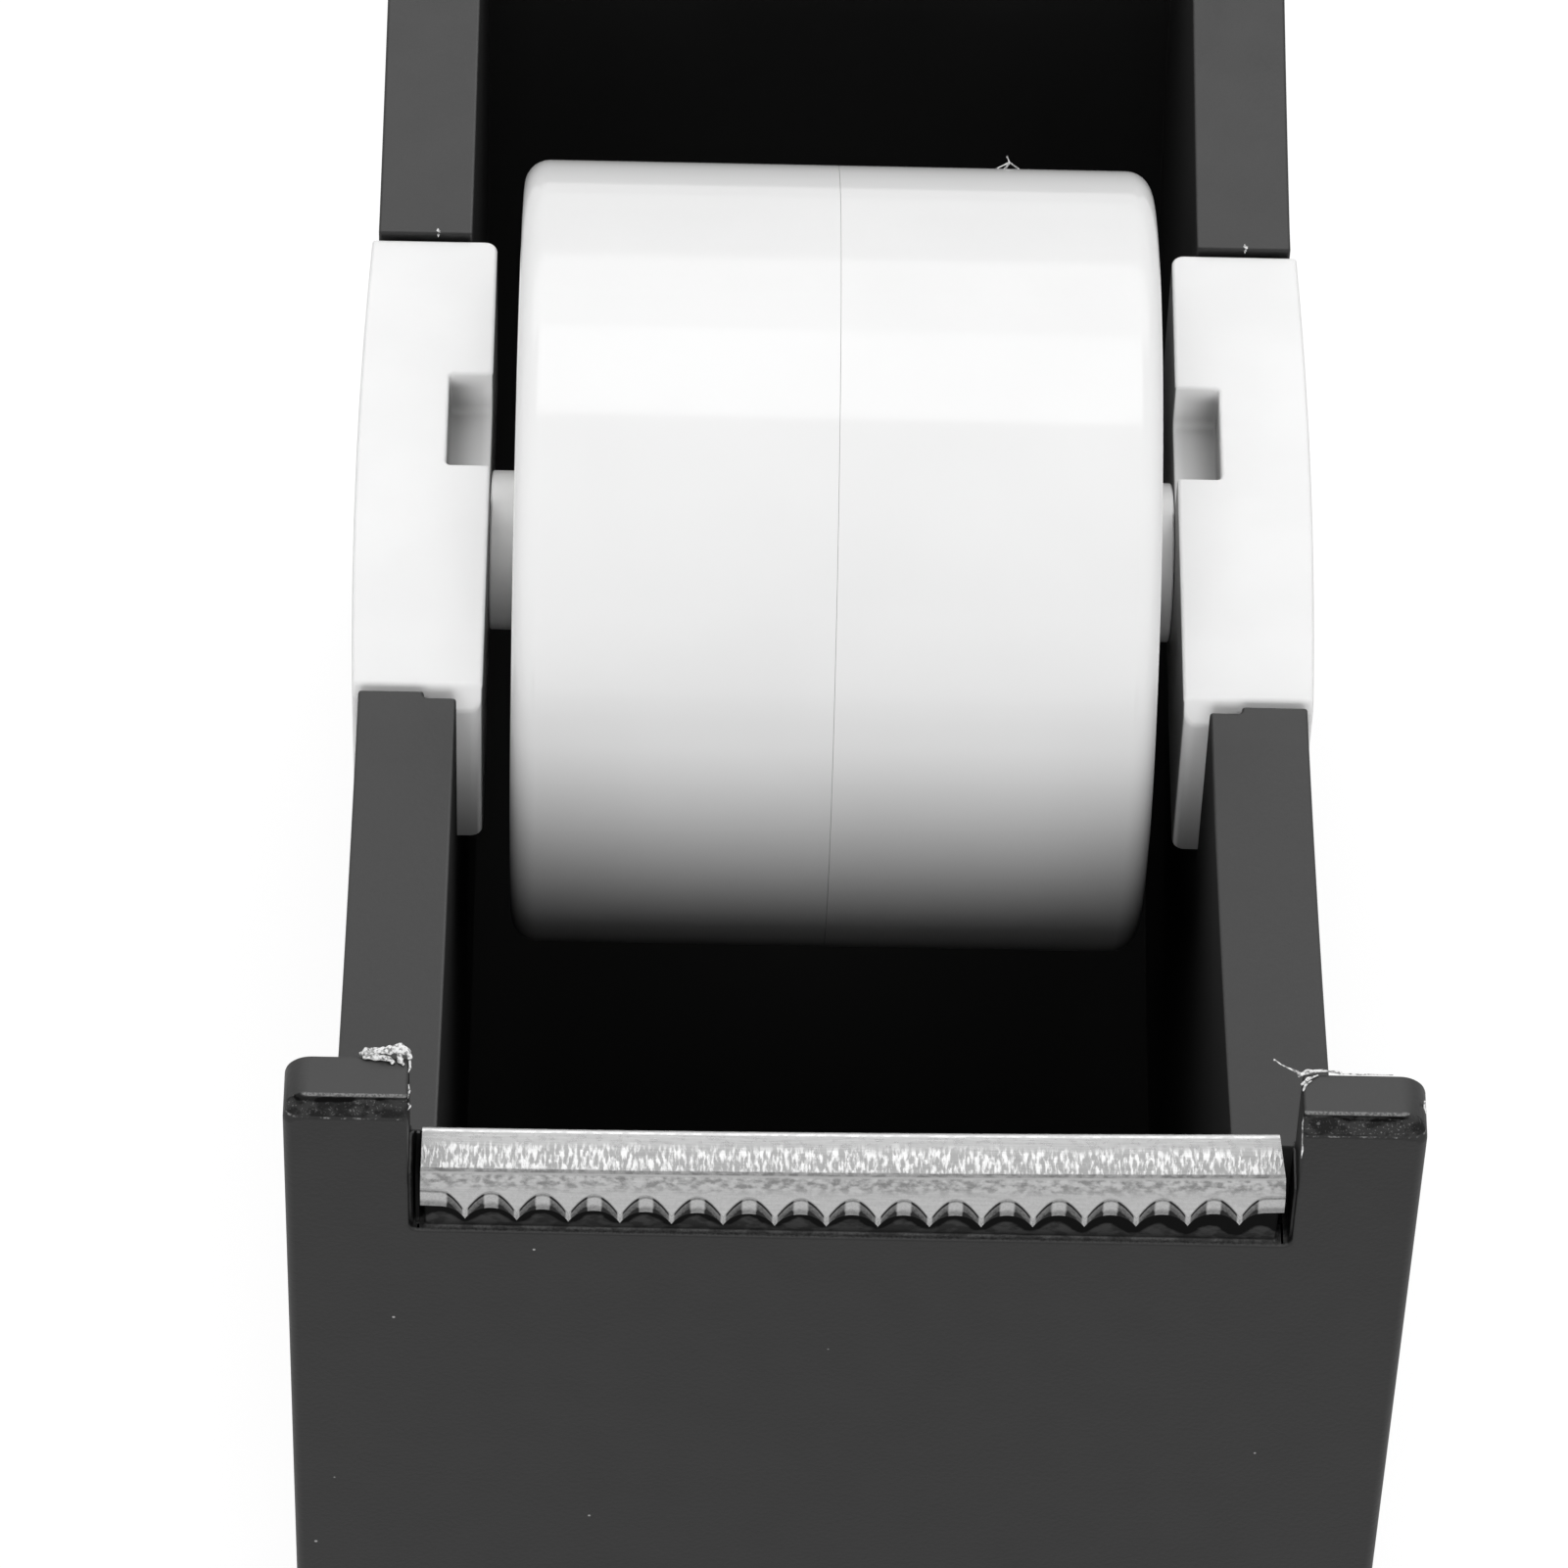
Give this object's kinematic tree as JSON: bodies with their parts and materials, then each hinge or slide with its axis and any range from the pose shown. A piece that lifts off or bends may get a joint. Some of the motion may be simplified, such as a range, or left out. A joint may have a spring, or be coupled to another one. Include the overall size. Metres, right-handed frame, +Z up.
{
  "type": "tape dispenser",
  "caption": "Small tabletop dispenser for narrow tape: a moulded tub with a serrated cutter blade between two ears, and a drum on an axle that lifts out.",
  "frame": {"origin": "at table level under the rubber feet, midway between the ears and straight below the drum's axle", "axes": "+Z up, -Y towards the cutter blade, X along the drum's axle"},
  "size_m": [0.0334, 0.063, 0.0467],
  "materials": {
    "housing_plastic": "fine satin moulding texture",
    "drum_plastic": "glossy white moulding",
    "holder_plastic": "satin white moulding",
    "axle_plastic": "smooth natural white",
    "bush_plastic": "plain bearing plastic",
    "blade_steel": "brushed along the cut, ground at the teeth",
    "screw_steel": "zinc plated",
    "ballast_iron": "rough casting",
    "foot_rubber": "matt rubber"
  },
  "bodies": {
    "housing": {"housing": "housing_plastic", "base_plate": "housing_plastic", "ballast_front": "ballast_iron", "ballast_rear": "ballast_iron", "base_screw_1": "screw_steel", "base_screw_2": "screw_steel", "base_screw_3": "screw_steel", "base_screw_4": "screw_steel", "rubber_foot_1": "foot_rubber", "rubber_foot_2": "foot_rubber", "rubber_foot_3": "foot_rubber", "rubber_foot_4": "foot_rubber", "cutter_blade": "blade_steel"},
    "spindle": {"holder_left": "holder_plastic", "holder_right": "holder_plastic", "axle": "axle_plastic"},
    "drum": {"drum_left": "drum_plastic", "drum_right": "drum_plastic", "bush_left": "bush_plastic", "bush_right": "bush_plastic"}
  },
  "joints": [
    {"name": "spindle_lift", "type": "slide", "parent": "housing", "child": "spindle", "axis": [0, 0, 1], "range_m": [0, 0.024]},
    {"name": "drum_spin", "type": "hinge", "parent": "spindle", "child": "drum", "pos_m": [-0.00055, 0, 0.0342], "axis": [1, 0, 0], "continuous": true}
  ]
}
